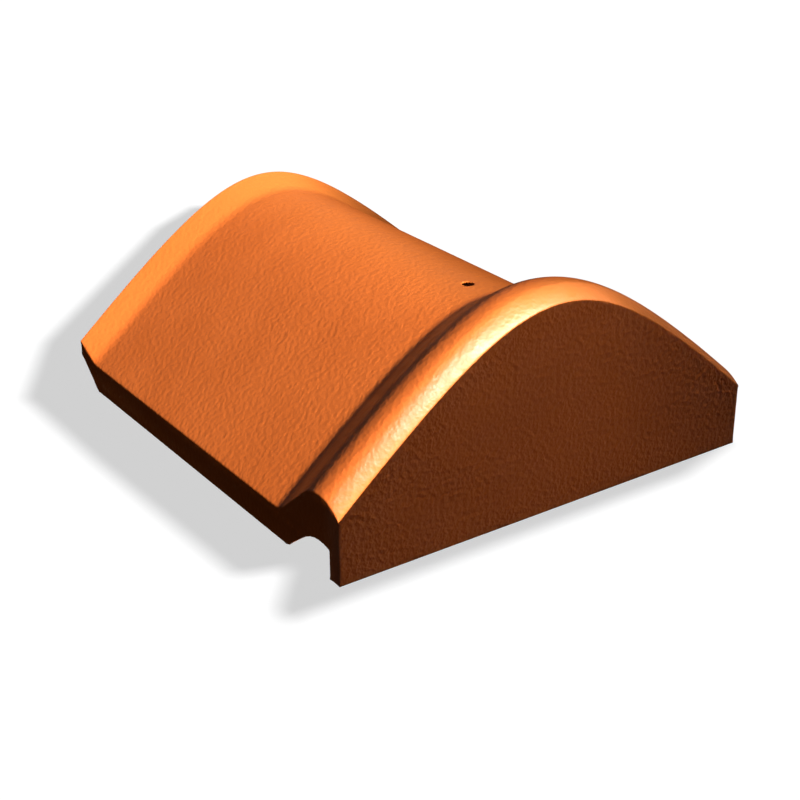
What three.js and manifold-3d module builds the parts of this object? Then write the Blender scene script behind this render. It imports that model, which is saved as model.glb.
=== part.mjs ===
// Ridge end tile: an arched roof-ridge tile cast in one piece, open below and at its far end.
// A flat plate closes its near end under a raised roll. Millimetres, X across the roof,
// Y along the ridge from the end plate to the open end, Z up from the plane that the tile rests on.
import * as THREE from "three";
import { mergeVertices } from "three/addons/utils/BufferGeometryUtils.js";
import Module from "manifold-3d";

const wasm = await Module();
wasm.setup();

// Body
const WIDTH = 240;
const LENGTH = 265;
const BODY_CREST = 92.8; // top of the plain body on the ridge line
const CROWN_LENGTH = 50; // how far the rounded crown spreads before the flanks run straight
const FLANK_PITCH = 0.96; // fall of the straight flanks for each millimetre across
const SHELL = 14; // wall, square to its surface
const PLATE = 8.3; // end plate, along Y

// Roll behind the end plate, and the hollow under it
// Rises are above the body, and places are behind the plate's face.
const ROLL_RADIUS = 26.5;
const ROLL_PLACE = 15.4;
const ROLL_RISE = 17.4;
const ROLL_BACK_ANGLE = THREE.MathUtils.degToRad(32.6);
const VALLEY_RADIUS = 14;
const HOLLOW_RADIUS = 29.4;
const HOLLOW_RISE = -0.25;
const HOLLOW_BACK_ANGLE = THREE.MathUtils.degToRad(29.7);

// Flare at the open end, and the bevel under it
const FLARE_LENGTH = 21;
const FLARE_RADIUS = 22;
const FLARE_ANGLE = THREE.MathUtils.degToRad(20);
const BEVEL_ANGLE = THREE.MathUtils.degToRad(32.7);

// Nail hole on the ridge line
const NAIL_DIAMETER = 6;
const NAIL_PLACE = 69;

// Facets
const COLUMNS = 56; // strips across the arch
const CROWN_CROWDING = 0.35; // share by which the strips narrow at the crown
const ARC_DIVISIONS = 5;
const HOLE_SIDES = 24;
const OFFSET_PASSES = 30;

const CUTTER_MARGIN = 20; // how far a cutter reaches past what it cuts

const firedClay = new THREE.MeshStandardMaterial({ color: 0xd9722f, roughness: 0.5, metalness: 0 });

// Fall of the body's arch for each millimetre across, at x.
function archSlope(x) {
  return (FLANK_PITCH * x) / Math.hypot(x, CROWN_LENGTH);
}

// Height at x of the surface that runs a given rise outside the body's arch, measured square to the arch.
function archHeight(x, rise) {
  let foot = x;
  for (let pass = 0; pass < OFFSET_PASSES; pass += 1) {
    foot = x - (rise * archSlope(foot)) / Math.hypot(1, archSlope(foot));
  }
  const drop = FLANK_PITCH * (Math.hypot(foot, CROWN_LENGTH) - CROWN_LENGTH);
  return BODY_CREST - drop + rise / Math.hypot(1, archSlope(foot));
}

// Place across the tile of a depth along the straight extrusion, with narrower strips at the crown.
function across(depth) {
  const share = (2 * depth) / WIDTH - 1;
  return (WIDTH / 2) * share * (1 - CROWN_CROWDING + CROWN_CROWDING * share * share);
}

// Roll, valley, body and flare along the ridge line, from the plate's crease to the tip of the open end.
function addOutside(section) {
  const up = Math.PI / 2;
  const rollCentre = BODY_CREST + ROLL_RISE - ROLL_RADIUS;
  const creaseAngle = Math.acos(-ROLL_PLACE / ROLL_RADIUS);
  section.lineTo(0, rollCentre + ROLL_RADIUS * Math.sin(creaseAngle));
  section.absarc(ROLL_PLACE, rollCentre, ROLL_RADIUS, creaseAngle, up - ROLL_BACK_ANGLE, true);

  const slopeTop = ROLL_PLACE + ROLL_RADIUS * Math.sin(ROLL_BACK_ANGLE);
  const slopeRise = ROLL_RISE - ROLL_RADIUS * (1 - Math.cos(ROLL_BACK_ANGLE));
  const slopeFoot = slopeTop + slopeRise / Math.tan(ROLL_BACK_ANGLE);
  const valleyEnd = slopeFoot + VALLEY_RADIUS * Math.tan(ROLL_BACK_ANGLE / 2);
  section.absarc(valleyEnd, BODY_CREST + VALLEY_RADIUS, VALLEY_RADIUS, -up - ROLL_BACK_ANGLE, -up, false);

  const flareStart = LENGTH - FLARE_LENGTH;
  section.absarc(flareStart, BODY_CREST + FLARE_RADIUS, FLARE_RADIUS, -up, FLARE_ANGLE - up, false);
  const straightStart = flareStart + FLARE_RADIUS * Math.sin(FLARE_ANGLE);
  const straightRise = FLARE_RADIUS * (1 - Math.cos(FLARE_ANGLE));
  section.lineTo(LENGTH, BODY_CREST + straightRise + (LENGTH - straightStart) * Math.tan(FLARE_ANGLE));
}

// Lip, bevel, underside and the hollow under the roll, from the tip back to the plate's inner face.
function addInside(section) {
  const up = Math.PI / 2;
  section.lineTo(LENGTH, BODY_CREST);
  section.lineTo(LENGTH - SHELL / Math.tan(BEVEL_ANGLE), BODY_CREST - SHELL);

  const slopeTop = ROLL_PLACE + HOLLOW_RADIUS * Math.sin(HOLLOW_BACK_ANGLE);
  const slopeRise = HOLLOW_RISE - HOLLOW_RADIUS * (1 - Math.cos(HOLLOW_BACK_ANGLE));
  section.lineTo(slopeTop + (slopeRise + SHELL) / Math.tan(HOLLOW_BACK_ANGLE), BODY_CREST - SHELL);

  const hollowCentre = BODY_CREST + HOLLOW_RISE - HOLLOW_RADIUS;
  const plateAngle = Math.acos((PLATE - ROLL_PLACE) / HOLLOW_RADIUS);
  section.absarc(ROLL_PLACE, hollowCentre, HOLLOW_RADIUS, up - HOLLOW_BACK_ANGLE, plateAngle, false);
}

// The tile's section on the ridge line: the end plate stands on the bed plane and carries the rest.
function ridgeSection() {
  const section = new THREE.Shape();
  section.moveTo(0, 0);
  addOutside(section);
  addInside(section);
  section.lineTo(PLATE, 0);
  section.closePath();
  return section;
}

// The section carried across the arch.
// Its two points on the bed plane stay there, and the rest follow the arch.
function sweptTile() {
  const geometry = new THREE.ExtrudeGeometry(ridgeSection(), {
    depth: WIDTH,
    steps: COLUMNS,
    curveSegments: ARC_DIVISIONS,
    bevelEnabled: false,
  });
  const position = geometry.getAttribute("position");
  for (let i = 0; i < position.count; i += 1) {
    const x = across(position.getZ(i));
    const height = position.getY(i);
    const onBed = height === 0;
    position.setXYZ(i, x, position.getX(i) - LENGTH / 2, onBed ? 0 : archHeight(x, height - BODY_CREST));
  }
  return geometry;
}

// What lies below the bed plane: cutting it away leaves a narrow flat along the foot of each flank.
function belowBed() {
  const size = WIDTH + LENGTH;
  return new THREE.BoxGeometry(size, size, CUTTER_MARGIN).translate(0, 0, -CUTTER_MARGIN / 2);
}

function nailHole() {
  const radius = NAIL_DIAMETER / 2;
  const cutter = new THREE.CylinderGeometry(radius, radius, SHELL + 2 * CUTTER_MARGIN, HOLE_SIDES);
  return cutter.rotateX(Math.PI / 2).translate(0, NAIL_PLACE - LENGTH / 2, BODY_CREST - SHELL / 2);
}

function solidFrom(geometry) {
  geometry.deleteAttribute("normal");
  geometry.deleteAttribute("uv");
  const welded = mergeVertices(geometry);
  return new wasm.Manifold(
    new wasm.Mesh({
      numProp: 3,
      vertProperties: new Float32Array(welded.getAttribute("position").array),
      triVerts: new Uint32Array(welded.index.array),
    }),
  );
}

function geometryFrom(solid) {
  const mesh = solid.getMesh();
  const geometry = new THREE.BufferGeometry();
  geometry.setAttribute("position", new THREE.BufferAttribute(mesh.vertProperties, 3));
  geometry.setIndex(new THREE.BufferAttribute(mesh.triVerts, 1));
  geometry.computeVertexNormals();
  return geometry;
}

const solid = solidFrom(sweptTile()).subtract(solidFrom(belowBed())).subtract(solidFrom(nailHole()));
const tile = new THREE.Mesh(geometryFrom(solid), firedClay);
tile.name = "ridge_end_tile";

const part = new THREE.Group();
part.add(tile);

export default part;
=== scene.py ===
"""Looks of the ridge end tile: a fine mesh with softened edges, fired clay, a camera and studio light.

Metres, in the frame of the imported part: X across the roof, Y along the ridge from the end plate to the
open end, Z up from the bed.
"""

import math

import bpy
import numpy as np
from mathutils import Matrix, Vector, noise


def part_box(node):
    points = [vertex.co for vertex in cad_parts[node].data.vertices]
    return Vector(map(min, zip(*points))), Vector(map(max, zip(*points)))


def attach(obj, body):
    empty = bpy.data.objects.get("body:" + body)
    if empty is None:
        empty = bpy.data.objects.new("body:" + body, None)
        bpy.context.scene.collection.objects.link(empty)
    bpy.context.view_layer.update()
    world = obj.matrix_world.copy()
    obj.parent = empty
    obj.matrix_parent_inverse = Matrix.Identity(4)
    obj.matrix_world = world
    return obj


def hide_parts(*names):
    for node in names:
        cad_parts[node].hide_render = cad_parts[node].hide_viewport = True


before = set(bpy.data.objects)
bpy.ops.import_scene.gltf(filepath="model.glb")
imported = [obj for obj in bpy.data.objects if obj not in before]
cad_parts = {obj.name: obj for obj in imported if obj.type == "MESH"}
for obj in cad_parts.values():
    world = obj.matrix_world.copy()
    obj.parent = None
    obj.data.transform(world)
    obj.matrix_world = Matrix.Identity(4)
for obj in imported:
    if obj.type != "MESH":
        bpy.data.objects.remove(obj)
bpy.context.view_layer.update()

MM = 0.001
NODE = "ridge_end_tile"
LOW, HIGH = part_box(NODE)
WIDTH = HIGH.x - LOW.x
LENGTH = HIGH.y - LOW.y
PLATE_FACE = LOW.y
UP = math.pi / 2

# The tile's section, as in the solid: rises are above the body, places are behind the plate's face
CROWN_LENGTH = 50 * MM
FLANK_PITCH = 0.96
SHELL = 14 * MM
PLATE = 8.3 * MM
ROLL_RADIUS = 26.5 * MM
ROLL_PLACE = 15.4 * MM
ROLL_RISE = 17.4 * MM
ROLL_BACK_ANGLE = math.radians(32.6)
VALLEY_RADIUS = 14 * MM
HOLLOW_RADIUS = 29.4 * MM
HOLLOW_RISE = -0.25 * MM
HOLLOW_BACK_ANGLE = math.radians(29.7)
FLARE_LENGTH = 21 * MM
FLARE_RADIUS = 22 * MM
FLARE_ANGLE = math.radians(20)
BEVEL_ANGLE = math.radians(32.7)
NAIL_RADIUS = 3 * MM
NAIL_PLACE = 69 * MM
BODY_CREST = HIGH.z - ROLL_RISE
OFFSET_PASSES = 30

# Softened edges
CORNER_SOFTNESS = 0.35 * MM
SIDE_EDGE_RADIUS = 0.5 * MM
SIDE_EDGE_TURNS = 4
CORNER_TURN = math.radians(5)
CORNER_CLEARANCE = 2 * MM
BED_SOFTNESS = 0.5 * MM
RIM_SOFTNESS = 0.5 * MM
RIM_RINGS = 6

# Fineness of the mesh
OUTLINE_STEP = 0.1 * MM
OUTSIDE_STEP = 1.5 * MM
INSIDE_STEP = 4 * MM
ACROSS_STEP = 1.5 * MM
ARCH_SAMPLES = 4001
CORNER_STEP = math.radians(11)
SHARP_ANGLE = math.radians(32)
HOLE_SIDES = 48

# Part of the plate that follows the arch under the roll, and part that stays level on the bed
PLATE_TOP_BAND = 4 * MM
PLATE_FOOT_BAND = 3 * MM


def placed(name, data):
    """A new object in the scene."""
    thing = bpy.data.objects.new(name, data)
    bpy.context.scene.collection.objects.link(thing)
    return thing


def arch_slope(x):
    """Fall of the body's arch for each metre across, at x."""
    return FLANK_PITCH * x / np.hypot(x, CROWN_LENGTH)


def arch_height(x, rise):
    """Height at x of the surface a given rise outside the body's arch, measured square to the arch."""
    foot = x
    for _ in range(OFFSET_PASSES):
        foot = x - rise * arch_slope(foot) / np.hypot(1, arch_slope(foot))
    drop = FLANK_PITCH * (np.hypot(foot, CROWN_LENGTH) - CROWN_LENGTH)
    return BODY_CREST - drop + rise / np.hypot(1, arch_slope(foot))


def arc(place, height, radius, start, end):
    """Points of an arc in the section's plane."""
    turn = np.linspace(start, end, max(2, round(abs(end - start) * radius / OUTLINE_STEP)))
    return np.stack([place + radius * np.cos(turn), height + radius * np.sin(turn)], axis=1)


def outside_run():
    """Roll, valley, body and flare on the ridge line, from the plate's crease to the open end's tip."""
    roll_centre = BODY_CREST + ROLL_RISE - ROLL_RADIUS
    crease = math.acos(-ROLL_PLACE / ROLL_RADIUS)
    slope_top = ROLL_PLACE + ROLL_RADIUS * math.sin(ROLL_BACK_ANGLE)
    slope_rise = ROLL_RISE - ROLL_RADIUS * (1 - math.cos(ROLL_BACK_ANGLE))
    slope_foot = slope_top + slope_rise / math.tan(ROLL_BACK_ANGLE)
    valley_end = slope_foot + VALLEY_RADIUS * math.tan(ROLL_BACK_ANGLE / 2)
    flare_start = LENGTH - FLARE_LENGTH
    straight_start = flare_start + FLARE_RADIUS * math.sin(FLARE_ANGLE)
    straight_rise = FLARE_RADIUS * (1 - math.cos(FLARE_ANGLE))
    tip_rise = straight_rise + (LENGTH - straight_start) * math.tan(FLARE_ANGLE)
    return np.concatenate([
        arc(ROLL_PLACE, roll_centre, ROLL_RADIUS, crease, UP - ROLL_BACK_ANGLE),
        arc(valley_end, BODY_CREST + VALLEY_RADIUS, VALLEY_RADIUS, -UP - ROLL_BACK_ANGLE, -UP),
        arc(flare_start, BODY_CREST + FLARE_RADIUS, FLARE_RADIUS, -UP, FLARE_ANGLE - UP),
        [[LENGTH, BODY_CREST + tip_rise]],
    ])


def inside_run():
    """Lip, bevel, underside and the hollow under the roll, from below the tip to the plate's inner corner."""
    slope_top = ROLL_PLACE + HOLLOW_RADIUS * math.sin(HOLLOW_BACK_ANGLE)
    slope_rise = HOLLOW_RISE - HOLLOW_RADIUS * (1 - math.cos(HOLLOW_BACK_ANGLE))
    slope_foot = slope_top + (slope_rise + SHELL) / math.tan(HOLLOW_BACK_ANGLE)
    hollow_centre = BODY_CREST + HOLLOW_RISE - HOLLOW_RADIUS
    plate_corner = math.acos((PLATE - ROLL_PLACE) / HOLLOW_RADIUS)
    return np.concatenate([
        [[LENGTH, BODY_CREST], [LENGTH - SHELL / math.tan(BEVEL_ANGLE), BODY_CREST - SHELL]],
        [[slope_foot, BODY_CREST - SHELL]],
        arc(ROLL_PLACE, hollow_centre, HOLLOW_RADIUS, UP - HOLLOW_BACK_ANGLE, plate_corner),
    ])


def softened(outline):
    """A closed outline at even steps with its corners rounded, and the distance along it of each point."""
    closed = np.concatenate([outline, outline[:1]])
    along = np.concatenate([[0], np.cumsum(np.linalg.norm(np.diff(closed, axis=0), axis=1))])
    count = round(along[-1] / OUTLINE_STEP)
    even = np.arange(count) * along[-1] / count
    points = np.stack([np.interp(even, along, closed[:, k]) for k in range(2)], axis=1)
    wave = np.fft.rfftfreq(count, along[-1] / count) * 2 * math.pi
    blur = np.exp(-0.5 * (wave * CORNER_SOFTNESS) ** 2)
    smooth = np.fft.irfft(np.fft.rfft(points, axis=0) * blur[:, None], count, axis=0)
    return smooth, even


def section_samples():
    """Points round the section, closer together where it turns.

    Each has its place, its rise above the body, its height on the bed and the share of it that follows
    the arch.
    """
    outside, inside = outside_run(), inside_run()
    outline = np.concatenate([[[0, 0]], outside, inside, [[PLATE, 0]]])
    points, along = softened(outline)
    total = along[-1] + along[1]
    crease_height = outside[0, 1]
    corner_height = inside[-1, 1]
    on_face = along < crease_height
    on_inner = along > total - PLATE - corner_height
    tip_along = along[np.argmax(points[:, 0])]

    tangent = np.gradient(points, axis=0)
    heading = np.unwrap(np.arctan2(tangent[:, 1], tangent[:, 0]))
    turning = np.abs(np.gradient(heading)) / along[1]
    step = np.where(along < tip_along, OUTSIDE_STEP, INSIDE_STEP)
    density = np.maximum(1 / step, turning / CORNER_STEP)
    filled = np.cumsum(density) * along[1]
    picks = np.unique(np.searchsorted(filled, np.arange(0.5, filled[-1])))

    place, height = points[picks].T
    on_face, on_inner = on_face[picks], on_inner[picks]
    on_plate = on_face | on_inner
    top = np.where(on_face, crease_height, corner_height) - PLATE_TOP_BAND
    share = np.clip((height - PLATE_FOOT_BAND) / (top - PLATE_FOOT_BAND), 0, 1)
    return {
        "place": place,
        "rise": np.where(on_plate, np.maximum(height, top), height) - BODY_CREST,
        "foot": np.minimum(height, PLATE_FOOT_BAND),
        "share": np.where(on_plate, share, 1.0),
    }


def section_at(x, samples):
    """The section's points in the plane at x, as places along Y and heights."""
    arch = arch_height(np.full_like(samples["rise"], x), samples["rise"])
    arch = (arch + np.hypot(arch, BED_SOFTNESS)) / 2
    height = samples["share"] * arch + (1 - samples["share"]) * samples["foot"]
    return np.stack([PLATE_FACE + samples["place"], height], axis=1)


def corner_relief(section):
    """Share of the side rounding that each point takes: none at outer corners, so that none folds."""
    ahead = np.roll(section, -1, axis=0) - section
    length = np.linalg.norm(ahead, axis=1)
    heading = np.arctan2(ahead[:, 1], ahead[:, 0])
    turn = (heading - np.roll(heading, 1) + math.pi) % (2 * math.pi) - math.pi
    along = np.concatenate([[0], np.cumsum(length)])
    corners = along[:-1][turn < -CORNER_TURN]
    gap = np.abs(along[:-1, None] - corners[None, :])
    nearest = np.minimum(gap, along[-1] - gap).min(axis=1)
    share = np.clip(nearest / CORNER_CLEARANCE, 0, 1)
    return share * share * (3 - 2 * share)


def inset(section, depth):
    """A section drawn in by a depth, square to its outline, which runs clockwise."""
    tangent = np.roll(section, -1, axis=0) - np.roll(section, 1, axis=0)
    tangent /= np.linalg.norm(tangent, axis=1, keepdims=True)
    outward = np.stack([-tangent[:, 1], tangent[:, 0]], axis=1)
    return section - depth * corner_relief(section)[:, None] * outward


def columns_across():
    """Places of the sections across the tile and how far each is drawn in, with rounded side edges."""
    half = WIDTH / 2 - SIDE_EDGE_RADIUS
    fine = np.linspace(-half, half, ARCH_SAMPLES)
    stretch = np.hypot(np.diff(fine), np.diff(arch_height(fine, 0.0)))
    along = np.concatenate([[0], np.cumsum(stretch)])
    count = round(along[-1] / ACROSS_STEP)
    middle = np.interp(np.linspace(0, along[-1], count), along, fine)
    turn = np.linspace(0, UP, SIDE_EDGE_TURNS + 1)[1:]
    edge = half + SIDE_EDGE_RADIUS * np.sin(turn)
    depth = SIDE_EDGE_RADIUS * (1 - np.cos(turn))
    places = np.concatenate([-edge[::-1], middle, edge])
    depths = np.concatenate([depth[::-1], np.zeros(count), depth])
    return places, depths


def swept_mesh():
    """The tile without its nail hole: its section carried across the arch, closed by flat side faces."""
    samples = section_samples()
    places, depths = columns_across()
    sections = [inset(section_at(x, samples), depth) for x, depth in zip(places, depths)]
    around = len(sections[0])
    vertices = [(x, y, z) for x, section in zip(places, sections) for y, z in section]
    faces = []
    for column in range(len(places) - 1):
        for sample in range(around):
            here, after = column * around + sample, column * around + (sample + 1) % around
            faces.append([here, here + around, after + around, after])
    swept = len(faces)
    last = (len(places) - 1) * around
    faces.append(list(range(around)))
    faces.append(list(range(last, last + around))[::-1])
    mesh = bpy.data.meshes.new("ridge_end_tile_fine")
    mesh.from_pydata(vertices, [], faces)
    mesh.polygons.foreach_set("use_smooth", np.arange(len(faces)) < swept)
    mesh.update()
    return mesh


# Slow waves of the pressed surface
WAVE_LENGTH = 26 * MM
WAVE_HEIGHT = 0.05 * MM
RIPPLE_LENGTH = 7 * MM
RIPPLE_HEIGHT = 0.02 * MM
EDGE_FADE = 5 * MM


def press_marks(mesh):
    """Moves the swept surface in and out by slow waves that die away at the side faces and at the bed."""
    count = len(mesh.vertices)
    place = np.zeros(count * 3, np.float32)
    normal = np.zeros(count * 3, np.float32)
    mesh.vertices.foreach_get("co", place)
    mesh.vertices.foreach_get("normal", normal)
    place, normal = place.reshape(-1, 3), normal.reshape(-1, 3)
    wave = np.array([noise.noise(Vector(p) / WAVE_LENGTH) for p in place])
    ripple = np.array([noise.noise(Vector(p) / RIPPLE_LENGTH) for p in place])
    from_side = np.clip((WIDTH / 2 - np.abs(place[:, 0])) / EDGE_FADE, 0, 1)
    from_bed = np.clip(place[:, 2] / EDGE_FADE, 0, 1)
    push = from_side * from_bed * (WAVE_HEIGHT * wave + RIPPLE_HEIGHT * ripple)
    mesh.vertices.foreach_set("co", (place + normal * push[:, None]).astype(np.float32).ravel())
    mesh.update()


def hole_ring(radius, height):
    """Points of a circle round the nail hole's axis."""
    turn = np.linspace(0, 2 * math.pi, HOLE_SIDES, endpoint=False)
    centre = PLATE_FACE + NAIL_PLACE
    return [(radius * math.cos(t), centre + radius * math.sin(t), height) for t in turn]


def hole_wall(rings):
    """Faces that join rings of the nail hole's points, each to the next."""
    faces = []
    for ring in range(rings - 1):
        for side in range(HOLE_SIDES):
            here, after = ring * HOLE_SIDES + side, ring * HOLE_SIDES + (side + 1) % HOLE_SIDES
            faces.append([here, after, after + HOLE_SIDES, here + HOLE_SIDES])
    return faces


def nail_cutter():
    """A round cutter for the nail hole whose rim flares a little at the tile's surface."""
    bend = np.linspace(0, UP, RIM_RINGS)
    rim = [(NAIL_RADIUS + RIM_SOFTNESS * (1 - math.cos(b)), RIM_SOFTNESS * (math.sin(b) - 1)) for b in bend]
    wide = NAIL_RADIUS + 2 * RIM_SOFTNESS
    rings = [(NAIL_RADIUS, -2 * SHELL), *rim, (wide, RIM_SOFTNESS / 2), (wide, SHELL)]
    vertices = [point for radius, rise in rings for point in hole_ring(radius, BODY_CREST + rise)]
    bottom = list(range(HOLE_SIDES))[::-1]
    top = [len(vertices) - HOLE_SIDES + side for side in range(HOLE_SIDES)]
    mesh = bpy.data.meshes.new("nail_cutter")
    mesh.from_pydata(vertices, [], [bottom, *hole_wall(len(rings)), top])
    return placed("nail_cutter", mesh)


def make_tile():
    """The fine tile, bored for the nail."""
    mesh = swept_mesh()
    press_marks(mesh)
    tile = placed("tile", mesh)
    cutter = nail_cutter()
    cut = tile.modifiers.new("nail_hole", "BOOLEAN")
    cut.operation = "DIFFERENCE"
    cut.solver = "MANIFOLD"
    cut.object = cutter
    ready = tile.evaluated_get(bpy.context.evaluated_depsgraph_get())
    tile.data = bpy.data.meshes.new_from_object(ready)
    tile.modifiers.clear()
    bpy.data.objects.remove(cutter)
    tile.data.set_sharp_from_angle(angle=SHARP_ANGLE)
    return tile


# Tones of the fired clay, as scene-linear colours: plain and paler patches and the raw underside, and
# a painted highlight: a yellower tone on what faces up and forward, towards the front light
CLAY_TONE = (0.63, 0.133, 0.021, 1)
CLAY_PALE = (0.67, 0.145, 0.024, 1)
RAW_CLAY = (0.50, 0.135, 0.035, 1)
PAINTED_HIGHLIGHT_CLAY = (0.55, 0.145, 0.0245, 1)
PATCH_SIZE = 45 * MM
PATCH_DETAIL = 3
PATCH_RANGE = (0.35, 0.65)
# Side that the painted highlight tone faces, and the range of facing over which it comes in
PAINTED_HIGHLIGHT_SIDE = (0.05, -0.60, 0.80)
PAINTED_HIGHLIGHT_RANGE = (0.62, 0.95)
RAW_FACING = (-0.1, -0.4)

# Grain and sheen of the clay: the grain is stronger on the plate, which faces along -Y
GRAIN_SIZE = 2.5 * MM
GRAIN_DETAIL = 1.5
GRAIN_ROUGHNESS = 0.45
GRAIN_HEIGHT = 0.76 * MM
GRAIN_STRENGTH = (0.36, 0.72)
PLATE_FACING = (-0.75, -0.95)
SHEEN_SIZE = 9 * MM
SHEEN_DETAIL = 2
SHEEN_RANGE = (0.3, 0.7)
SHEEN_ROUGHNESS = (0.38, 0.48)


class Nodes:
    """Short calls for building a node tree."""

    def __init__(self, tree):
        self.tree = tree
        tree.nodes.clear()

    def add(self, kind, **settings):
        node = self.tree.nodes.new(kind)
        for name, value in settings.items():
            setattr(node, name, value)
        return node

    def link(self, source, target):
        self.tree.links.new(source, target)

    def feed(self, socket, value):
        if isinstance(value, bpy.types.NodeSocket):
            self.link(value, socket)
        else:
            socket.default_value = value

    def range(self, value, low, high, to_low=0.0, to_high=1.0, run="SMOOTHSTEP"):
        node = self.add("ShaderNodeMapRange", interpolation_type=run)
        for name, entry in (("Value", value), ("From Min", low), ("From Max", high)):
            self.feed(node.inputs[name], entry)
        node.inputs["To Min"].default_value = to_low
        node.inputs["To Max"].default_value = to_high
        return node.outputs["Result"]

    def dot(self, vector, direction):
        node = self.add("ShaderNodeVectorMath", operation="DOT_PRODUCT")
        self.link(vector, node.inputs[0])
        node.inputs[1].default_value = direction
        return node.outputs["Value"]

    def squared(self, value):
        node = self.add("ShaderNodeMath", operation="MULTIPLY")
        self.link(value, node.inputs[0])
        self.link(value, node.inputs[1])
        return node.outputs[0]

    def mix(self, factor, a, b):
        node = self.add("ShaderNodeMix", data_type="RGBA")
        for socket, value in ((0, factor), (6, a), (7, b)):
            self.feed(node.inputs[socket], value)
        return node.outputs[2]

    def mix_shaders(self, factor, a, b):
        node = self.add("ShaderNodeMixShader")
        for socket, source in enumerate((factor, a, b)):
            self.link(source, node.inputs[socket])
        return node.outputs[0]

    def noise(self, place, size, detail, roughness=0.5):
        node = self.add("ShaderNodeTexNoise")
        self.link(place, node.inputs["Vector"])
        node.inputs["Scale"].default_value = 1 / size
        node.inputs["Detail"].default_value = detail
        node.inputs["Roughness"].default_value = roughness
        return node.outputs["Fac"]

    def finish(self, shader, kind="ShaderNodeOutputMaterial"):
        self.link(shader, self.add(kind).inputs["Surface"])


def new_material(name):
    """An empty material and the calls that build its nodes."""
    material = bpy.data.materials.new(name)
    material.use_nodes = True
    return material, Nodes(material.node_tree)


def fired_clay():
    material, n = new_material("fired_clay")
    place = n.add("ShaderNodeTexCoord").outputs["Object"]
    normal = n.add("ShaderNodeNewGeometry").outputs["Normal"]
    facing = n.add("ShaderNodeSeparateXYZ")
    n.link(normal, facing.inputs[0])

    patches = n.range(n.noise(place, PATCH_SIZE, PATCH_DETAIL), *PATCH_RANGE)
    colour = n.mix(patches, CLAY_TONE, CLAY_PALE)
    # Painted highlight: a yellower tone where the surface faces the front light
    colour = n.mix(n.range(n.dot(normal, PAINTED_HIGHLIGHT_SIDE), *PAINTED_HIGHLIGHT_RANGE), colour, PAINTED_HIGHLIGHT_CLAY)
    colour = n.mix(n.range(facing.outputs["Z"], *RAW_FACING), colour, RAW_CLAY)
    sheen = n.range(n.noise(place, SHEEN_SIZE, SHEEN_DETAIL), *SHEEN_RANGE, *SHEEN_ROUGHNESS)

    bump = n.add("ShaderNodeBump")
    n.link(n.range(facing.outputs["Y"], *PLATE_FACING, *GRAIN_STRENGTH), bump.inputs["Strength"])
    bump.inputs["Distance"].default_value = GRAIN_HEIGHT
    n.link(n.noise(place, GRAIN_SIZE, GRAIN_DETAIL, GRAIN_ROUGHNESS), bump.inputs["Height"])

    shader = n.add("ShaderNodeBsdfPrincipled")
    n.link(colour, shader.inputs["Base Color"])
    n.link(sheen, shader.inputs["Roughness"])
    n.link(bump.outputs["Normal"], shader.inputs["Normal"])
    n.finish(shader.outputs[0])
    return material


tile = make_tile()
tile.data.materials.clear()
tile.data.materials.append(fired_clay())
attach(tile, "root")
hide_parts(NODE)
# No light bounces off the tile
tile.visible_diffuse = False

# Camera, from the photograph's viewing angle
CAMERA_AZIMUTH = math.radians(-34.589)
CAMERA_ELEVATION = math.radians(25.42)
CAMERA_ROLL = math.radians(-0.331)
CAMERA_PLACE = Vector((-426.52 * MM, PLATE_FACE - 491.34 * MM, 365.22 * MM))
CAMERA_LENS = 70.24
CAMERA_SENSOR = 36


def make_camera():
    right = Vector((math.cos(CAMERA_AZIMUTH), math.sin(CAMERA_AZIMUTH), 0))
    level = math.cos(CAMERA_ELEVATION)
    back = Vector((right.y * level, -right.x * level, math.sin(CAMERA_ELEVATION)))
    turn = Matrix((right, back.cross(right), back)).transposed() @ Matrix.Rotation(CAMERA_ROLL, 3, "Z")
    data = bpy.data.cameras.new("camera")
    data.sensor_width = CAMERA_SENSOR
    data.lens = CAMERA_LENS
    camera = placed("camera", data)
    camera.matrix_world = Matrix.Translation(CAMERA_PLACE) @ turn.to_4x4()
    bpy.context.scene.camera = camera


FLOOR_SIZE = 14
FLOOR_GAP = 0.1 * MM
FLOOR_TONE = (0.9, 0.9, 0.9, 1)


def make_floor():
    """A pale floor that is clear from below."""
    half = FLOOR_SIZE / 2
    mesh = bpy.data.meshes.new("floor")
    corners = [(-half, -half), (half, -half), (half, half), (-half, half)]
    mesh.from_pydata([(x, y, -FLOOR_GAP) for x, y in corners], [], [[0, 1, 2, 3]])
    material, n = new_material("pale_floor")
    diffuse = n.add("ShaderNodeBsdfDiffuse")
    diffuse.inputs["Color"].default_value = FLOOR_TONE
    below = n.add("ShaderNodeNewGeometry").outputs["Backfacing"]
    clear = n.add("ShaderNodeBsdfTransparent")
    n.finish(n.mix_shaders(below, diffuse.outputs[0], clear.outputs[0]))
    mesh.materials.append(material)
    floor = placed("floor", mesh)
    floor.visible_diffuse = False
    floor.visible_glossy = False
    return floor


CARD_POINTS = 121

# Card in front of the plate: it stops only light that ends close behind it
SHADE_GAP = 1.5 * MM
SHADE_MARGIN = 1 * MM
SHADE_RISE = 0.3 * MM
SHADE_REACH = 6 * MM

# Graded sheet in front of the right half
SCRIM_GAP = 5 * MM
SCRIM_START = -88 * MM
SCRIM_END = 5 * MM
SCRIM_SLANT = 0.6
SCRIM_LEAST = 0.14
SCRIM_REACH = 350 * MM

# Card above the tile for the gloss
FLAG_START = 7 * MM
FLAG_MARGIN = 80 * MM
FLAG_RISE = 12 * MM

# Outline of the soft shadow beside and behind the tile, seen from above, in millimetres
FLOOR_SHADE = [
    (-153, -142), (-151, -131), (-130, -106), (-153, -97), (-157, 40), (-157, 130),
    (-117, 196), (30, 343), (75, 372), (120, 330), (120, -132), (75, -144),
]
FLOOR_SHADE_HEIGHT = 40 * MM


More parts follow.
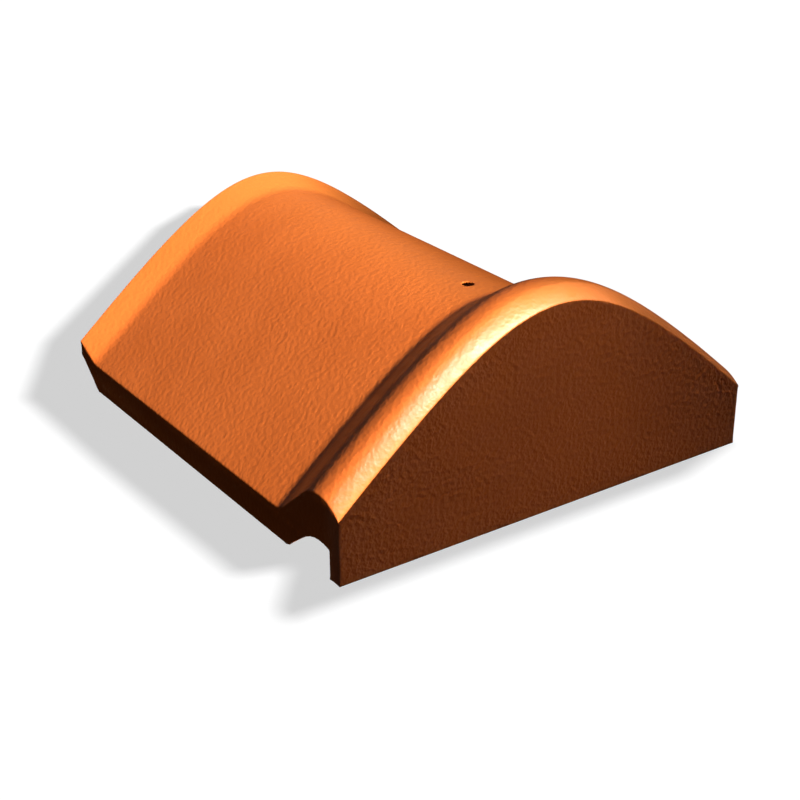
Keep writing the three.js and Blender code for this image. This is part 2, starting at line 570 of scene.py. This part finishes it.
def unseen(name, vertices, faces):
    """A thing of the studio that only stops light and is never seen."""
    mesh = bpy.data.meshes.new(name)
    mesh.from_pydata(vertices, [], faces)
    thing = placed(name, mesh)
    thing.visible_camera = False
    thing.visible_diffuse = False
    thing.visible_glossy = False
    thing.visible_transmission = False
    return thing


def ribbon(name, edge, other_edge):
    """An unseen card between two edges with the same number of points."""
    count = len(edge)
    faces = [[k, k + 1, k + 1 + count, k + count] for k in range(count - 1)]
    return unseen(name, edge + other_edge, faces)


def let_through(n, material, card, share):
    """Makes a card's material clear, so that it lets through a share of the light."""
    clear = n.add("ShaderNodeBsdfTransparent")
    n.link(share, clear.inputs["Color"])
    n.finish(clear.outputs[0])
    card.data.materials.append(material)


def plate_shade():
    """A card close in front of the end plate that keeps the low front light off it, up to the crease."""
    half = WIDTH / 2 + SHADE_MARGIN
    across = np.linspace(-half, half, CARD_POINTS)
    crease_rise = outside_run()[0, 1] - BODY_CREST
    top = arch_height(across, crease_rise) + SHADE_RISE
    y = PLATE_FACE - SHADE_GAP
    lower_edge = [(x, y, -SHADE_MARGIN) for x in across]
    upper_edge = [(x, y, z) for x, z in zip(across, top)]
    shade = ribbon("plate_shade", lower_edge, upper_edge)
    material, n = new_material("near_shade")
    reach = n.add("ShaderNodeLightPath").outputs["Ray Length"]
    let_through(n, material, shade, n.range(reach, SHADE_REACH, 2 * SHADE_REACH))
    return shade


def side_scrim():
    """A graded sheet before the tile's right half that thins out over the left flank."""
    y = PLATE_FACE - SCRIM_GAP
    corners = [(SCRIM_START, 0), (SCRIM_REACH, 0), (SCRIM_REACH, SCRIM_REACH), (SCRIM_START, SCRIM_REACH)]
    scrim = unseen("side_scrim", [(x, y, z) for x, z in corners], [[0, 1, 2, 3]])
    material, n = new_material("graded_sheet")
    along = n.dot(n.add("ShaderNodeTexCoord").outputs["Object"], (1, 0, -SCRIM_SLANT))
    thin = n.range(along, SCRIM_START, SCRIM_END, 1.0, SCRIM_LEAST, "LINEAR")
    let_through(n, material, scrim, n.squared(thin))
    return scrim


def gloss_flag():
    """A card that follows the arch above the tile and keeps the strip light on the front of the roll."""
    half = WIDTH / 2 + FLAG_MARGIN
    across = np.linspace(-half, half, CARD_POINTS)
    height = arch_height(across, ROLL_RISE + FLAG_RISE)
    ends = (PLATE_FACE + FLAG_START, HIGH.y + FLAG_MARGIN)
    return ribbon("gloss_flag", *[[(x, y, z) for x, z in zip(across, height)] for y in ends])


def floor_shade():
    """A level card that only keeps the top light off the floor, for the even shadow round the tile."""
    corners = [(x * MM, y * MM, FLOOR_SHADE_HEIGHT) for x, y in FLOOR_SHADE]
    return unseen("floor_shade", corners, [list(range(len(corners)))])


def hole_shade():
    """A plug in the nail hole that keeps the low front light out of it."""
    drops = (2 * SHELL, RIM_SOFTNESS)
    radius = NAIL_RADIUS + RIM_SOFTNESS
    vertices = [point for drop in drops for point in hole_ring(radius, BODY_CREST - drop)]
    top = [HOLE_SIDES + side for side in range(HOLE_SIDES)]
    return unseen("hole_shade", vertices, [*hole_wall(len(drops)), top])


# Suns: the side that each comes from, its strength and its spread in degrees
SUNS = {
    "front_key": ((0.05, -0.924, 0.379), 11.5, 6),
    "right_side": ((0.75, -0.15, 0.64), 1.55, 20),
    "back_low": ((0.15, 0.93, -0.35), 1.2, 30),
    "floor_bounce": ((-0.6, 0, -0.8), 0.09, 30),
    "floor_top": ((0, 0, 1), 1.40, 19),
    "floor_fill": ((0, 0, 1), 2.15, 17),
}

# Point light close in front of the plate's middle
NEAR_STRENGTH = 6.0
NEAR_PLACE = (0, -0.384, 0.109)

# Spot light from above that grazes the plate
GLOW_STRENGTH = 5.6
GLOW_PLACE = (-0.02, PLATE_FACE - 0.16, 0.6)
GLOW_TARGET = (-0.02, PLATE_FACE, 0.03)
GLOW_CONE = math.radians(30)
LAMP_SOFTNESS = 0.03

# Strip light that shows only as gloss on the roll
STRIP_STRENGTH = 36
STRIP_PLACE = (-0.10, PLATE_FACE - 0.24, 0.95)
STRIP_TARGET = (0, PLATE_FACE, BODY_CREST)
STRIP_SIZE = (1.1, 0.1)

# Dim panel behind and above that shows only as gloss
PANEL_STRENGTH = 2.8
PANEL_PLACE = (0, 1.1, 1.1)
PANEL_TARGET = (0, 0, 0)
PANEL_SIZE = 3

# Light from all round, and the heights of the direction between which it comes up
AIR_STRENGTH = 0.03
AIR_RISE = (-0.05, 0.3)


def lamp(name, kind, strength, lit, stopped_by=None):
    """A light that falls only on some things and, where they are given, is stopped only by some."""
    data = bpy.data.lights.new(name, kind)
    data.energy = strength
    light = placed(name, data)
    light.visible_camera = False
    for role, things in (("receiver", lit), ("blocker", stopped_by)):
        if things is not None:
            group = bpy.data.collections.new(name + "_" + role)
            for thing in things:
                group.objects.link(thing)
            setattr(light.light_linking, role + "_collection", group)
    return light


def turn_to(light, back):
    """Turns a light so that it shines away from a direction."""
    light.rotation_mode = "QUATERNION"
    light.rotation_quaternion = back.to_track_quat("Z", "Y")


def aim(light, place, target):
    light.location = place
    turn_to(light, Vector(place) - Vector(target))


def sun(name, lit, stopped_by=None):
    towards, strength, spread = SUNS[name]
    light = lamp(name, "SUN", strength, lit, stopped_by)
    light.data.angle = math.radians(spread)
    turn_to(light, Vector(towards))
    return light


def near_light(lit, stopped_by):
    light = lamp("front_near", "POINT", NEAR_STRENGTH, lit, stopped_by)
    light.location = NEAR_PLACE
    light.data.shadow_soft_size = LAMP_SOFTNESS
    return light


def plate_glow(lit, stopped_by):
    light = lamp("plate_glow", "SPOT", GLOW_STRENGTH, lit, stopped_by)
    light.data.spot_size = GLOW_CONE
    light.data.spot_blend = 1
    light.data.shadow_soft_size = LAMP_SOFTNESS
    aim(light, GLOW_PLACE, GLOW_TARGET)
    return light


def gloss_strip(lit, stopped_by):
    light = lamp("gloss_strip", "AREA", STRIP_STRENGTH, lit, stopped_by)
    light.data.shape = "RECTANGLE"
    light.data.size, light.data.size_y = STRIP_SIZE
    aim(light, STRIP_PLACE, STRIP_TARGET)
    return light


def top_panel(lit, stopped_by):
    light = lamp("top_panel", "AREA", PANEL_STRENGTH, lit, stopped_by)
    light.data.size = PANEL_SIZE
    aim(light, PANEL_PLACE, PANEL_TARGET)
    return light


def make_world():
    """White where the camera sees it, and only a dim light from above on everything else."""
    world = bpy.data.worlds.new("studio")
    bpy.context.scene.world = world
    world.use_nodes = True
    n = Nodes(world.node_tree)
    direction = n.add("ShaderNodeSeparateXYZ")
    n.link(n.add("ShaderNodeTexCoord").outputs["Generated"], direction.inputs[0])
    dim = n.add("ShaderNodeBackground")
    n.link(n.range(direction.outputs["Z"], *AIR_RISE, 0.0, AIR_STRENGTH), dim.inputs["Strength"])
    bright = n.add("ShaderNodeBackground")
    bright.inputs["Color"].default_value = (1, 1, 1, 1)
    seen = n.add("ShaderNodeLightPath").outputs["Is Camera Ray"]
    n.finish(n.mix_shaders(seen, dim.outputs[0], bright.outputs[0]), "ShaderNodeOutputWorld")


make_camera()
floor = make_floor()
make_world()
shades = [plate_shade(), hole_shade(), side_scrim()]
matt_lights = [sun("front_key", [tile], shades), near_light([tile], shades)]
matt_lights += [sun(name, [tile], [tile]) for name in ("right_side", "back_low", "floor_bounce")]
flag = gloss_flag()
matt_lights.append(plate_glow([tile], [tile, flag]))
for light in matt_lights:
    light.visible_glossy = False
for light in (gloss_strip([tile], [tile, flag]), top_panel([tile], [tile])):
    light.visible_diffuse = False
sun("floor_top", [floor], [floor_shade()])
sun("floor_fill", [floor]).data.use_shadow = False
bpy.context.scene.view_settings.view_transform = "Standard"
